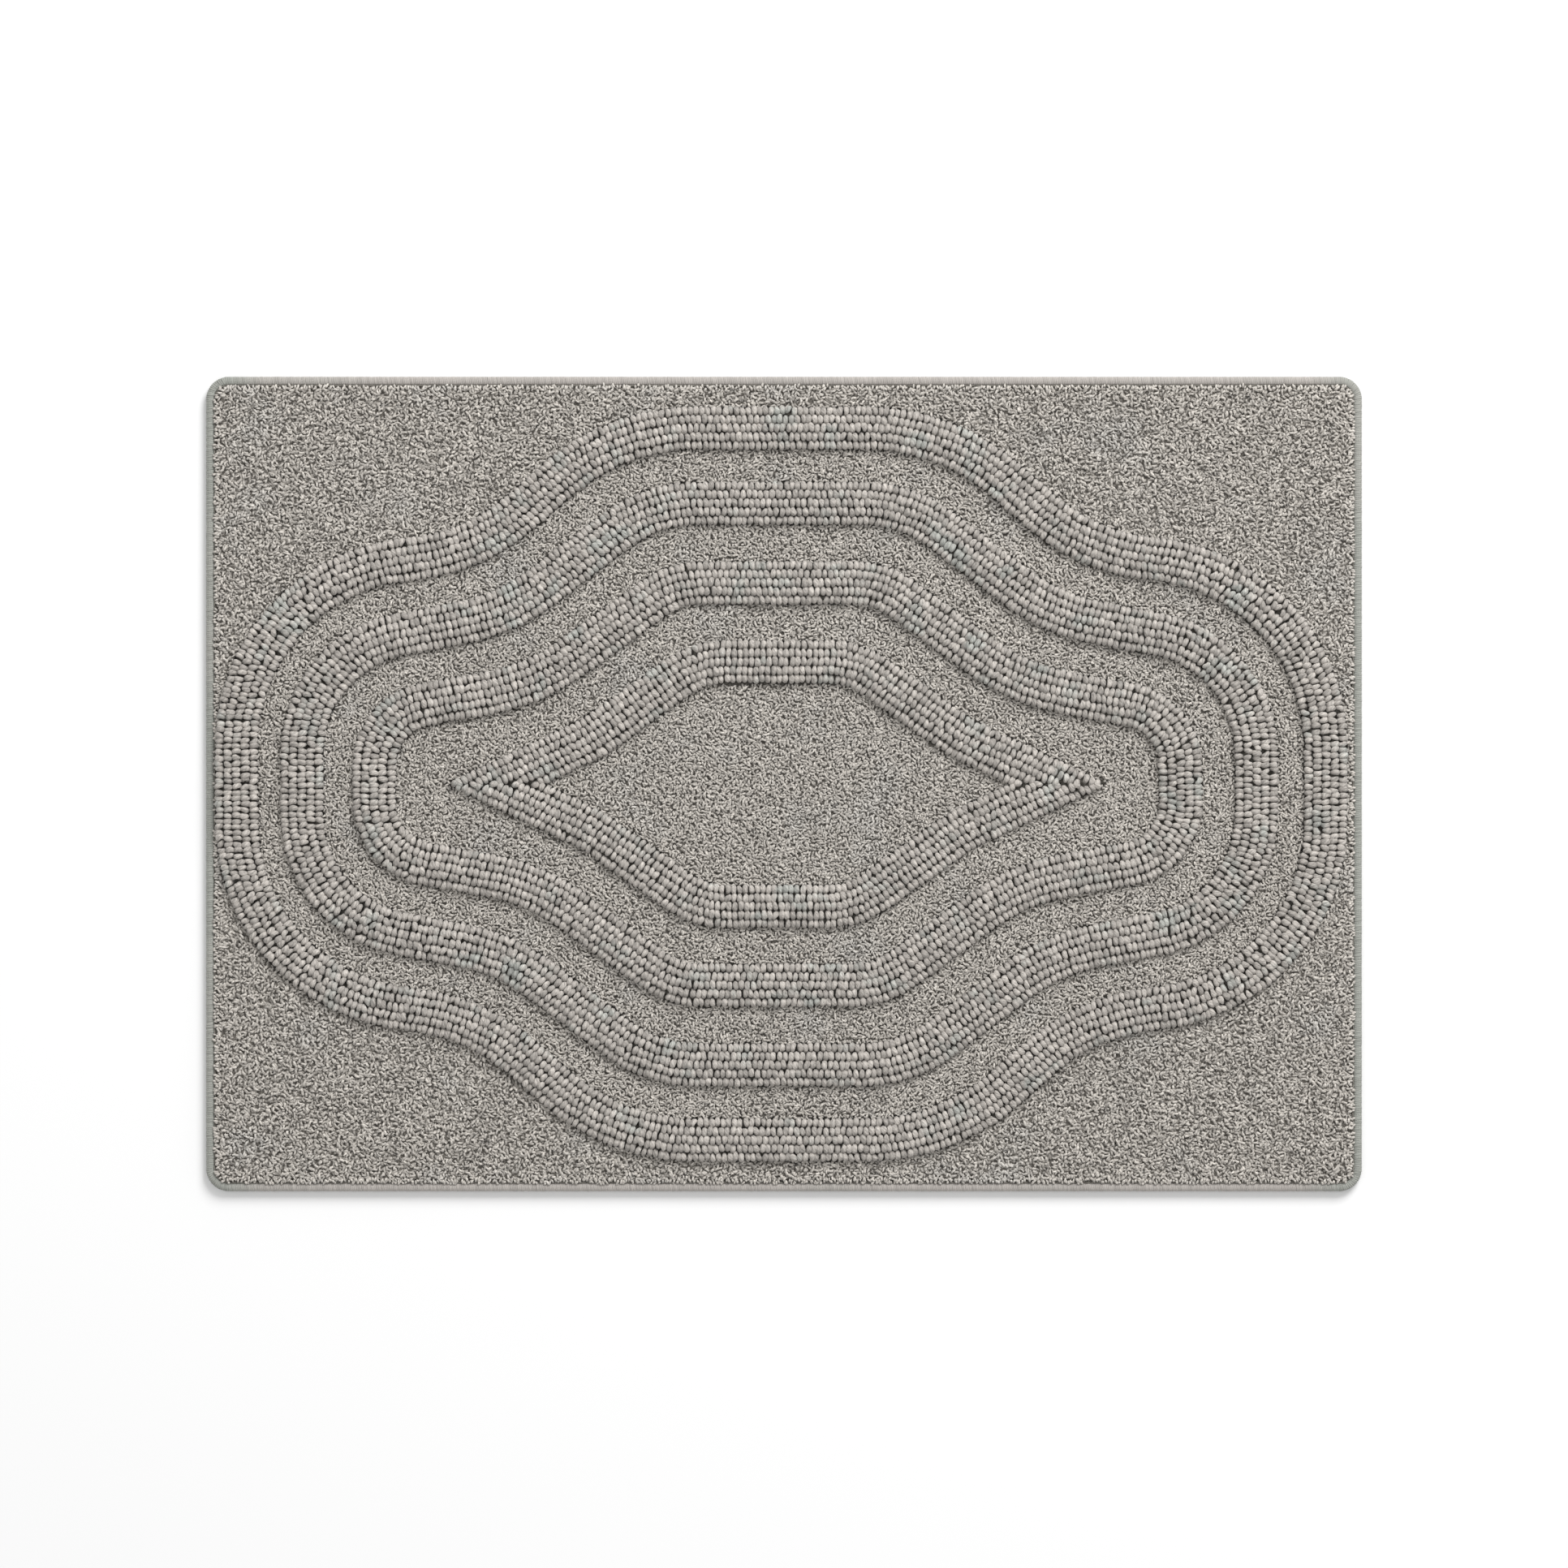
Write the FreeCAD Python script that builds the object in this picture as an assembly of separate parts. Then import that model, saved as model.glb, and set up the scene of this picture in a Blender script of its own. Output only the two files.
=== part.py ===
"""Tufted bath mat: latex-backed woven base, low curly pile, four raised rings of loop rows, bound edge.

Units are millimetres. The origin is the middle of the underside, X runs along the long side,
Y along the short side and Z up out of the pile.
"""
import FreeCAD, Part
import os

V = FreeCAD.Vector
UP = V(0, 0, 1)

# Outline of the whole mat.
MAT_LENGTH = 610.0
MAT_WIDTH = 430.0
CORNER_RADIUS = 12.0

# Layers, as heights above the floor.
LATEX_TOP = 1.0
BACKING_TOP = 2.0
SEAM_TOP = 4.4
FIELD_TOP = 7.0

# Overlocked binding round the edge: a C-shaped wrap that holds the backing in its groove.
BINDING_WIDTH = 4.2
BINDING_HEIGHT = 5.2
BINDING_GRIP = 3.0
BINDING_OUTER_ROUND = 2.2
BINDING_INNER_ROUND = 1.2

# The needle thread lies in the seam, where the pile beside the binding is pressed down.
SEAM_WIDTH = 2.4
STITCH_WIDTH = 0.65
STITCH_HEIGHT = 0.65

# Rows of loops: five side by side make one domed ring. Row 1 is the inner row.
ROW_PITCH = 4.7
ROW_WIDTH = 4.5
ROW_TOPS = (10.5, 12.0, 12.5, 12.0, 10.5)
ROW_ROUND = 1.6
MIDDLE_ROW = len(ROW_TOPS) // 2
RING_HALF_BAND = MIDDLE_ROW * ROW_PITCH + ROW_WIDTH / 2

# Clearance between neighbouring soft solids.
GAP = 0.1

# Middle line of each ring, outermost first. In one quarter it runs flat at half_height as far as
# crest, slopes down to waist, then out to side, and comes down straight at half_length.
# The radii round the crest, waist and side.
RINGS = (
    {"centre_x": -1.5, "half_height": 187.5, "half_length": 287.0,
     "crest": 87.0, "waist": (160.0, 123.5), "side": 106.0, "radii": (112.0, 105.0, 99.0)},
    {"centre_x": -2.5, "half_height": 148.0, "half_length": 251.5,
     "crest": 67.0, "waist": (144.0, 89.5), "side": 69.0, "radii": (71.0, 100.0, 64.0)},
    {"centre_x": -3.5, "half_height": 106.0, "half_length": 212.5,
     "crest": 54.0, "waist": (128.0, 52.5), "side": 37.0, "radii": (43.0, 106.0, 33.0)},
    {"centre_x": -3.8, "half_height": 64.5, "half_length": 148.5,
     "crest": 40.5, "waist": (97.0, 24.5), "side": 0.0, "radii": (44.0, 110.0, 0.0)},
)


def ring_corners(ring):
    """Corners (point, radius) of a ring's middle line, anticlockwise all the way round."""
    crest_radius, waist_radius, side_radius = ring["radii"]
    waist_x, waist_y = ring["waist"]
    quarter = [
        (ring["half_length"], ring["side"], side_radius),
        (waist_x, waist_y, waist_radius),
        (ring["crest"], ring["half_height"], crest_radius),
    ]
    if ring["side"] == 0:
        tip, sides = quarter[:1], quarter[1:]
    else:
        tip, sides = [], quarter
    top_right = [(x, y, r) for x, y, r in sides]
    top_left = [(-x, y, r) for x, y, r in reversed(sides)]
    bottom_left = [(-x, -y, r) for x, y, r in sides]
    bottom_right = [(x, -y, r) for x, y, r in reversed(sides)]
    left_tip = [(-x, y, r) for x, y, r in tip]
    around = tip + top_right + top_left + left_tip + bottom_left + bottom_right
    return [(V(x + ring["centre_x"], y, 0), r) for x, y, r in around]


def rectangle_corners(inset):
    """Corners of the mat's rounded rectangle, moved inwards by inset."""
    x = MAT_LENGTH / 2 - inset
    y = MAT_WIDTH / 2 - inset
    radius = CORNER_RADIUS - inset
    return [(V(sx * x, sy * y, 0), radius) for sx, sy in ((1, -1), (1, 1), (-1, 1), (-1, -1))]


def outline(corners, offset=0.0):
    """Closed wire of straight runs and tangent arcs through corners, moved outwards by offset.

    A corner that turns the other way is hollow, and one of radius 0 stays a sharp mitre.
    """
    spans = []
    for i, (point, radius) in enumerate(corners):
        before = corners[i - 1][0]
        after = corners[(i + 1) % len(corners)][0]
        run_in = (point - before).normalize()
        run_out = (after - point).normalize()
        side_in = run_in.cross(UP)
        side_out = run_out.cross(UP)
        mitre = (side_in + side_out) / (1 + side_in.dot(side_out))
        if radius == 0:
            spans.append([point + mitre * offset])
            continue
        bulge = radius if run_in.cross(run_out).z > 0 else -radius
        centre = point - mitre * bulge
        reach = bulge + offset
        middle_side = (side_in + side_out).normalize()
        spans.append([centre + side * reach for side in (side_in, middle_side, side_out)])
    edges = []
    for i, span in enumerate(spans):
        if len(span) == 3:
            edges.append(Part.Arc(*span).toShape())
        edges.append(Part.makeLine(span[-1], spans[(i + 1) % len(spans)][0]))
    return Part.Wire(edges)


def slab(outer, inner, bottom, top):
    """Solid between two heights, inside the outer wire and outside the inner one, if there is one."""
    wires = [outer] if inner is None else [outer, inner]
    face = Part.makeFace(wires, "Part::FaceMakerBullseye")
    face.translate(V(0, 0, bottom))
    return face.extrude(V(0, 0, top - bottom))


def edges_at(solid, height, wire):
    """The solid's edges at one height that lie along the given flat wire."""
    found = []
    for edge in solid.Edges:
        box = edge.BoundBox
        if abs(box.ZMin - height) > 1e-6 or abs(box.ZMax - height) > 1e-6:
            continue
        middle = edge.valueAt((edge.FirstParameter + edge.LastParameter) / 2)
        flat = Part.Vertex(V(middle.x, middle.y, 0))
        if flat.distToShape(wire)[0] < 1e-4:
            found.append(edge)
    return found


def save(name, shape):
    """Write one node as a STEP file and report its size."""
    solid = shape.Solids[0] if len(shape.Solids) == 1 else shape
    solid.exportStep("parts/" + name + ".step")
    box = solid.BoundBox
    print("%-18s valid %s  solids %d  z %.2f..%.2f  %.0f x %.0f  volume %.0f" % (
        name, solid.isValid(), len(shape.Solids), box.ZMin, box.ZMax,
        box.XLength, box.YLength, solid.Volume))


def latex_backing():
    """Non-slip coat under the woven base, ending at the binding."""
    return slab(outline(rectangle_corners(BINDING_WIDTH + GAP)), None, 0, LATEX_TOP)


def primary_backing():
    """Woven base cloth, its edge held in the binding's groove."""
    return slab(outline(rectangle_corners(BINDING_WIDTH - BINDING_GRIP)), None, LATEX_TOP, BACKING_TOP)


def edge_binding():
    """Yarn wrap of rounded section, with the groove that grips the base cloth."""
    outer = outline(rectangle_corners(0))
    inner = outline(rectangle_corners(BINDING_WIDTH))
    body = slab(outer, inner, 0, BINDING_HEIGHT)
    rims = edges_at(body, 0, outer) + edges_at(body, BINDING_HEIGHT, outer)
    body = body.makeFillet(BINDING_OUTER_ROUND, rims)
    body = body.makeFillet(BINDING_INNER_ROUND, edges_at(body, BINDING_HEIGHT, inner))
    return body.cut(primary_backing())


def binding_stitch():
    """Needle thread that runs round in the seam against the binding."""
    outer = outline(rectangle_corners(BINDING_WIDTH + GAP))
    inner = outline(rectangle_corners(BINDING_WIDTH + GAP + STITCH_WIDTH))
    return slab(outer, inner, SEAM_TOP, SEAM_TOP + STITCH_HEIGHT)


def ring_row(ring, row):
    """One closed row of loops with a rounded top."""
    middle = (row - MIDDLE_ROW) * ROW_PITCH
    corners = ring_corners(ring)
    outer = outline(corners, middle + ROW_WIDTH / 2)
    inner = outline(corners, middle - ROW_WIDTH / 2)
    body = slab(outer, inner, BACKING_TOP, ROW_TOPS[row])
    top = ROW_TOPS[row]
    return body.makeFillet(ROW_ROUND, edges_at(body, top, outer) + edges_at(body, top, inner))


def field_between(outer_ring, inner_ring):
    """Low pile between two neighbouring rings."""
    outer = outline(ring_corners(outer_ring), -RING_HALF_BAND - GAP)
    inner = outline(ring_corners(inner_ring), RING_HALF_BAND + GAP)
    return slab(outer, inner, BACKING_TOP, FIELD_TOP)


def field_centre():
    """Low pile inside the eye-shaped ring."""
    return slab(outline(ring_corners(RINGS[-1]), -RING_HALF_BAND - GAP), None, BACKING_TOP, FIELD_TOP)


def field_outer():
    """Low pile between the binding and the outer ring, pressed down in the seam."""
    ring = outline(ring_corners(RINGS[0]), RING_HALF_BAND + GAP)
    edge = outline(rectangle_corners(BINDING_WIDTH + GAP))
    body = slab(edge, ring, BACKING_TOP, FIELD_TOP)
    seam = slab(outline(rectangle_corners(0)), outline(rectangle_corners(BINDING_WIDTH + SEAM_WIDTH)),
                SEAM_TOP, BINDING_HEIGHT + FIELD_TOP)
    return body.cut(seam)


os.makedirs("parts", exist_ok=True)
save("latex_backing", latex_backing())
save("primary_backing", primary_backing())
save("edge_binding", edge_binding())
save("binding_stitch", binding_stitch())
save("field_outer", field_outer())
for number in range(1, len(RINGS)):
    save("field_%d_%d" % (number, number + 1), field_between(RINGS[number - 1], RINGS[number]))
save("field_centre", field_centre())
for number, ring in enumerate(RINGS, 1):
    for row in range(len(ROW_TOPS)):
        save("ring_%d_row_%d" % (number, row + 1), ring_row(ring, row))
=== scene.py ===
"""Looks of the tufted bath mat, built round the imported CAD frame. Metres, in the row frame."""
import math

import bpy
import numpy as np
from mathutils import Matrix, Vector
from mathutils.kdtree import KDTree


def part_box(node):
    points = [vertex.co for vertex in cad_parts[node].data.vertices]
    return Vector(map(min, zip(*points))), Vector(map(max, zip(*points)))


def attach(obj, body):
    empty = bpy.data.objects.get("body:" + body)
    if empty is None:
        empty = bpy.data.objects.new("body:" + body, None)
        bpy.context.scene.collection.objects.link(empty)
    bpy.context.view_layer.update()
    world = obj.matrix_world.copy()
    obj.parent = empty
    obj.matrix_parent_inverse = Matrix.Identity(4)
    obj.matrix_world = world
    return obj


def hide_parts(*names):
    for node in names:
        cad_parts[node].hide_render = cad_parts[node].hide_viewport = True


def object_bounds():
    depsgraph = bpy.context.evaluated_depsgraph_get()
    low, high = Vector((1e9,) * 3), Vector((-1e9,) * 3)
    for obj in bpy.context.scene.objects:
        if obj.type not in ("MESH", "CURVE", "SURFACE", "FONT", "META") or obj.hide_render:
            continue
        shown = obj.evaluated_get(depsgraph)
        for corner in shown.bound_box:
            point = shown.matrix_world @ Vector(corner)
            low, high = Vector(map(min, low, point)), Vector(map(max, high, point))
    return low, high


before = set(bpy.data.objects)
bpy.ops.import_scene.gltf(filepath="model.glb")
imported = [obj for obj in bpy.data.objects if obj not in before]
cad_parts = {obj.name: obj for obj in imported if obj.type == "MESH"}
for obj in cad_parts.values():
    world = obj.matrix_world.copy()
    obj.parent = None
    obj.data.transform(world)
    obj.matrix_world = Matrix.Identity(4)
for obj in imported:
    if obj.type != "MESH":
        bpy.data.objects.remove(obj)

CAD_BOX = [list(corner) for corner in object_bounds()]
MM = 0.001
LEVEL_WITHIN = 0.02 * MM     # vertices this near a height count as at it
OUTER_STEP, INNER_STEP = 0.4 * MM, 0.1 * MM    # between places on a row's two outlines

# Loops of the raised rings.
LOOP_PITCH = 3.05 * MM       # from loop to loop along a row
LOOP_WIDTH = 3.15 * MM       # width of a loop along the row
LOOP_THICK = 2.5 * MM        # thickness of the yarn, across the arch
LOOP_REACH = 5.6 * MM        # outside width of an arch, across the row
LOOP_RINGS, LOOP_SIDES = 9, 7
LOOP_SWELL = (0.56, 0.69, 0.87, 0.99, 1.02, 0.99, 0.87, 0.69, 0.56)    # yarn width along the arch
LOOP_YARN_LENGTH = 10 * MM   # yarn in a loop, for its fibres
CROWN_DROP = 0.4 * MM        # an average crown lies this far under the row's CAD top
ARCH_BEND = 100              # degrees of the arch on each side of the crown
FOOT_OUT = 0.72              # how far out the yarn's ends stand, as a share of the arch
FOOT_RISE = 0.6 * MM         # the yarn's ends start this far over the row's CAD floor, or more
FOOT_LOWEST = 0.3 * MM       # the least that is left of that once a loop leans
TILT_PIVOT = 1.6 * MM        # a loop tilts about a line this far under its crown
ROW_LEAN = 11.0              # degrees that a loop leans outwards, for each row from the middle one
LOOP_SHADE = {"from": 0.5 * MM, "over": 2.3 * MM, "most": 0.85}    # painted shade, darker down from the crown

# How unevenly the loops stand. Each spread is a standard deviation.
LINE_STEPS = 16              # places along the middle line, for each loop
LINE_REACH = 10              # places on each side that a row's direction is taken over
STEP_SPREAD = 0.6            # places that a loop stands off its even place
PAIR_TURN, SWING_TURN, OWN_TURN = 4, 3, 5    # degrees: neighbours apart, slowly along a row, alone
SWING_WAVES = 60
STRAY_SHARE = 0.04           # share of the loops that stand well askew
STRAY_TURN = (0.25, 0.6)     # radians, from and to
LEAN_SPREAD = 7              # degrees, across the row
TILT_SPREAD = 7              # degrees, along the row
SLIP_SPREAD = 0.15 * MM      # off the row's middle line
CROWN_SPREAD = 0.3 * MM
CROWN_LIMITS = (-0.9 * MM, 0.5 * MM)
SIZE_SPREAD = 0.06
REACH_SPREAD = 0.08
TAPER_SPREAD = 0.13          # one foot wider than the other
WOBBLE_SPREAD = 0.25 * MM    # one foot further along the row than the other
WOBBLE_BEND = 1.4            # radians: less of that shift towards the feet
FOOT_UNEVEN = 0.5 * MM       # added to the rise of a foot, at most
THICK_LIMIT = 1.5            # a loop is never thicker than this share of its half width

# Loops further than this from the middle, sideways, stand less evenly, fully so after 50 mm more.
UNRULY_FROM = 170 * MM
UNRULY_OVER = 50 * MM
UNRULY = {"turn": 0.8, "stray": 0.06, "lean": 0.3, "tilt": 1.0}

# Strands of the low pile: the coarser kind outside the rings, the finer one between them.
COARSE = {"spacing": 1.56 * MM, "width": 1.08 * MM, "length": 3.5 * MM, "ruffle": 1.3 * MM}
FINE = {"spacing": 1.47 * MM, "width": 0.98 * MM, "length": 3.1 * MM, "ruffle": 0.9 * MM}
CURL_RINGS, CURL_SIDES = 4, 4
SQUARE = math.sqrt(0.5)      # from the width of a four-sided strand to the reach of its corners
ROOT_DROP = 1.8 * MM         # the roots' surface lies this far under the strands' tops
RING_OVERLAP = 0.9 * MM      # low pile reaches this far in under the rings' outer loops
EDGE_CORNER = 7.7 * MM       # corner radius of the pile's edge

# How the strands lie. Each spread is a standard deviation, and each range is from and to.
SPOT_SPREAD = 0.27           # of the spacing
LENGTH_RANGE = (0.65, 1.3)   # of the kind's length
WIDTH_RANGE = (0.8, 1.2)     # of the kind's width
FLATNESS = 0.8               # thickness, as a share of the width
END_TAPER = 0.4              # width lost at the ends, as a share
RUFFLE_POWER = 1.2           # more than 1: most strands lie near the top, and few lie low
DIP_RANGE = (0.8 * MM, 2.4 * MM)    # how far the ends dive
DIP_POWER = 2.4              # more than 1: the middle stays level, and the ends fall steeply
TURN_SPREAD = 0.5            # radians off the pile's lie
CURL_SPREAD = 1.2            # radians turned from one end to the other
SWAY_SPREAD = 0.4            # radians of a bend and back
LIE_WAVES = 24
LIE_LENGTHS = (5 * MM, 18 * MM)
LIE_SWING = 2.4              # radians
# Painted shade of the strands: darker down from their tops, and darker still for strands lying low.
STRAND_SHADE = {"from": 0.2 * MM, "over": 2.2 * MM, "sunk": 0.55, "sunk_over": 1.3 * MM, "most": 0.8}

# Pile this close to the binding is combed towards it, and is shorter, lower and calmer.
SEAM_STRIP = 2.2 * MM
SEAM_LENGTH = 0.6
SEAM_DROP = 0.9 * MM
SEAM_CALM = 0.3
SEAM_SHIFT = 0.25 * MM       # back from the binding

# Edge binding.
BINDING_LAP = 0.6 * MM       # the wound yarn swells this far in over the pile's edge
BINDING_SQUARENESS = 0.72    # 1 for an oval section, less for a squarer one
BINDING_PIECES = 4
WRAP_PITCH = 0.98 * MM
WRAP_WIDE = 0.80             # half width of a turn, as a share of the pitch, so that turns overlap
WRAP_THICK = 0.42 * MM
WRAP_SLANT = 0.35            # of the pitch
WRAP_RINGS, WRAP_SIDES = 12, 4
WRAP_LENGTH = 14 * MM        # yarn in a turn, for its fibres
WRAP_SPREAD = {"out": 0.015, "up": 0.01, "slant": 0.05, "width": 0.05}    # standard deviations
CORE_INSET = 0.8 * WRAP_THICK
CORE_STEP, CORE_SIDES = 4 * MM, 12
CORNER_PLACES = 40           # places round each rounded corner

# Needle thread.
STITCH_PITCH = 3.6 * MM
STITCH_REACH = 0.55          # half length of a stitch, as a share of the pitch
STITCH_RINGS, STITCH_SIDES = 6, 5
STITCH_DIP = 1.1 * MM        # how far a stitch's ends dive
STITCH_SPREAD = 0.08 * MM    # standard deviation off the line
THREAD_RADIUS = 0.24 * MM
THREAD_RISE = 0.1 * MM       # over the CAD stitch line's top

# Underside.
RIB_PITCH, RIB_HEIGHT = 4.7 * MM, 0.16 * MM      # lines of tufting under the latex
BEAD_PITCH, BEAD_HEIGHT = 6.1 * MM, 0.10 * MM    # along those lines
RIB_SWAY, RIB_SWAY_LENGTH = 0.6, 21 * MM
BEAD_SWAY, BEAD_SWAY_LENGTH = 1.3, 13 * MM
DRIFT_HEIGHT = 0.06 * MM                         # slow unevenness of the coat
DRIFT_LENGTHS = (37 * MM, 29 * MM)
LATEX_GRID = 1.9 * MM
CLOTH_GRID = 12 * MM

FIBRE_TWIST = 0.45           # radians that the fibres wind round a yarn, for each millimetre of it
YARN_START = 900             # mm: each piece of yarn starts at a place of its own up to this

# Stage and camera.
FLOOR_HALF = 4
FLOOR_GAP = 0.2 * MM         # between the floor and the underside
EYE_DISTANCE = 3.2           # from the low pile
SHOWN_SHARE = 1.3549         # width of the picture, as a share of the mat's length

MAT_SEED, LIE_SEED = 20, 7


# ---------------------------------------------------------------- meshes

def mesh_piece(name, points, faces, values=None, smooth=True):
    """Mesh object from vertex places, face arrays of any widths, and named values per vertex."""
    mesh = bpy.data.meshes.new(name)
    mesh.vertices.add(len(points))
    mesh.vertices.foreach_set("co", np.asarray(points, np.float32).ravel())
    widths = np.concatenate([np.full(len(group), group.shape[1]) for group in faces])
    corners = np.concatenate([group.ravel() for group in faces])
    mesh.loops.add(len(corners))
    mesh.loops.foreach_set("vertex_index", corners.astype(np.int32))
    mesh.polygons.add(len(widths))
    starts = np.concatenate([[0], np.cumsum(widths)[:-1]])
    mesh.polygons.foreach_set("loop_start", starts.astype(np.int32))
    mesh.update(calc_edges=True)
    mesh.polygons.foreach_set("use_smooth", np.full(len(widths), smooth))
    for label, array in (values or {}).items():
        kind, field = ("FLOAT_VECTOR", "vector") if array.ndim == 2 else ("FLOAT", "value")
        layer = mesh.attributes.new(label, kind, "POINT")
        layer.data.foreach_set(field, np.asarray(array, np.float32).ravel())
    piece = bpy.data.objects.new(name, mesh)
    bpy.context.scene.collection.objects.link(piece)
    return piece


def unit(vectors):
    """Vectors of length 1 along the last axis."""
    return vectors / np.maximum(np.linalg.norm(vectors, axis=-1, keepdims=True), 1e-12)


def tube_points(paths, across, wide, thick, sides):
    """Vertices (tube, ring, side, xyz) of oval tubes round paths.

    wide is the half width along across, and thick is the half width at right angles to it.
    """
    tangent = unit(np.gradient(paths, axis=1))
    across = unit(across - tangent * (across * tangent).sum(-1, keepdims=True))
    over = np.cross(tangent, across)
    angle = 2 * math.pi * (np.arange(sides) + 0.5) / sides
    wide_part = (across * wide[..., None])[:, :, None] * np.cos(angle)[:, None]
    thick_part = (over * thick[..., None])[:, :, None] * np.sin(angle)[:, None]
    return paths[:, :, None] + wide_part + thick_part


def tube_faces(count, rings, sides, closed=False):
    """Side faces of count tubes, with end caps, or joined end to end if closed."""
    ring = np.arange(rings if closed else rings - 1)[:, None]
    side = np.arange(sides)[None, :]
    after = (ring + 1) % rings
    beside = (side + 1) % sides
    quads = np.stack([ring * sides + side, ring * sides + beside,
                      after * sides + beside, after * sides + side], axis=-1).reshape(-1, 4)
    shift = (np.arange(count) * rings * sides)[:, None, None]
    faces = [(quads[None] + shift).reshape(-1, 4)]
    if not closed:
        caps = np.array([np.arange(sides)[::-1], (rings - 1) * sides + np.arange(sides)])
        faces.append((caps[None] + shift).reshape(-1, sides))
    return faces


def spread(array, rings, sides):
    """One value per tube, or per tube and ring, repeated for each of its vertices."""
    array = np.asarray(array, float)
    if array.ndim == 1:
        array = np.repeat(array[:, None], rings, axis=1)
    return np.repeat(array[:, :, None], sides, axis=2).ravel()


def yarn_vector(count, rings, sides, length, rng):
    """Per vertex: round the yarn, and along it in mm, for fibres that wind slowly round the yarn."""
    start = rng.uniform(0, YARN_START, count)[:, None, None]
    along = np.linspace(0, length / MM, rings)[None, :, None] + start
    angle = 2 * math.pi * np.arange(sides) / sides + FIBRE_TWIST * along
    parts = [np.cos(angle), np.sin(angle), np.broadcast_to(along, angle.shape)]
    return np.stack(parts, axis=-1).reshape(-1, 3)


# ---------------------------------------------------------------- outlines, read from the CAD frame

def flat_outlines(node, height):
    """Closed outlines of a CAD node's flat face at a height, longest first, each as (n, 2) places."""
    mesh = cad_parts[node].data
    mesh.calc_loop_triangles()
    places = np.array([vertex.co for vertex in mesh.vertices])
    keys, welded = np.unique(np.round(places, 6), axis=0, return_inverse=True)
    welded = welded.ravel()
    triangles = welded[np.array([triangle.vertices for triangle in mesh.loop_triangles])]
    level = np.abs(keys[:, 2] - height) < LEVEL_WITHIN
    triangles = triangles[level[triangles].all(axis=1)]
    sides = [triangles[:, pair] for pair in ([0, 1], [1, 2], [2, 0])]
    edges = np.sort(np.concatenate(sides), axis=1)
    edges, uses = np.unique(edges, axis=0, return_counts=True)
    beside = {}
    for a, b in edges[uses == 1].tolist():
        beside.setdefault(a, []).append(b)
        beside.setdefault(b, []).append(a)
    found = []
    while beside:
        start = next(iter(beside))
        chain, here = [start], start
        while beside.get(here):
            after = beside[here].pop()
            beside[after].remove(here)
            if not beside[here]:
                del beside[here]
            if after == start:
                break
            chain.append(after)
            here = after
        beside = {key: value for key, value in beside.items() if value}
        if len(chain) > 2:
            found.append(keys[chain][:, :2])
    return sorted(found, key=path_length, reverse=True)


def path_length(outline):
    """Length of a closed outline."""
    return np.linalg.norm(np.roll(outline, -1, axis=0) - outline, axis=1).sum()


def resample(outline, count):
    """Evenly spaced places round a closed outline."""
    closed = np.vstack([outline, outline[:1]])
    steps = np.linalg.norm(np.diff(closed, axis=0), axis=1)
    reach = np.concatenate([[0], np.cumsum(steps)])
    wanted = np.arange(count) / count * reach[-1]
    return np.stack([np.interp(wanted, reach, closed[:, axis]) for axis in (0, 1)], axis=1)


def anticlockwise(outline):
    """The outline, turned round if it runs clockwise."""
    x, y = outline.T
    area = (x * np.roll(y, -1) - np.roll(x, -1) * y).sum()
    return outline if area > 0 else outline[::-1]


def middle_line(node):
    """Middle line of a closed row, halfway between the CAD solid's outer and inner outlines."""
    outer, inner = flat_outlines(node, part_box(node)[0].z)
    outer = resample(outer, int(path_length(outer) / OUTER_STEP))
    inner = resample(inner, int(path_length(inner) / INNER_STEP))
    tree = KDTree(len(inner))
    for index, place in enumerate(inner):
        tree.insert((place[0], place[1], 0), index)
    tree.balance()
    nearest = [tree.find((place[0], place[1], 0))[1] for place in outer]
    return anticlockwise((outer + inner[nearest]) / 2)


def inside(places, outlines):
    """True where a place is inside the outlines, by counting crossings."""
    result = np.zeros(len(places), bool)
    x, y = places.T
    for outline in outlines:
        for (ax, ay), (bx, by) in zip(outline, np.roll(outline, -1, axis=0)):
            crosses = (ay > y) != (by > y)
            if crosses.any():
                at = ax + (y[crosses] - ay) * (bx - ax) / (by - ay)
                result[crosses] ^= x[crosses] < at
    return result


def edge_distance(places):
    """How far places are inside the pile's rounded rectangular edge, and the way out to it."""
    low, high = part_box("field_outer")
    half = np.array([high.x - low.x, high.y - low.y]) / 2
    middle = np.array([high.x + low.x, high.y + low.y]) / 2
    offset = places - middle
    beyond = np.abs(offset) - (half - EDGE_CORNER)
    in_corner = (beyond > 0).all(axis=1)
    distance = np.where(in_corner, EDGE_CORNER - np.linalg.norm(beyond, axis=1),
                        EDGE_CORNER - beyond.max(axis=1))
    flat_way = np.where(beyond[:, :1] > beyond[:, 1:], [[1.0, 0.0]], [[0.0, 1.0]])
    way = np.where(in_corner[:, None], unit(np.maximum(beyond, 0)), flat_way) * np.sign(offset)
    return distance, way


# ---------------------------------------------------------------- materials

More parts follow.
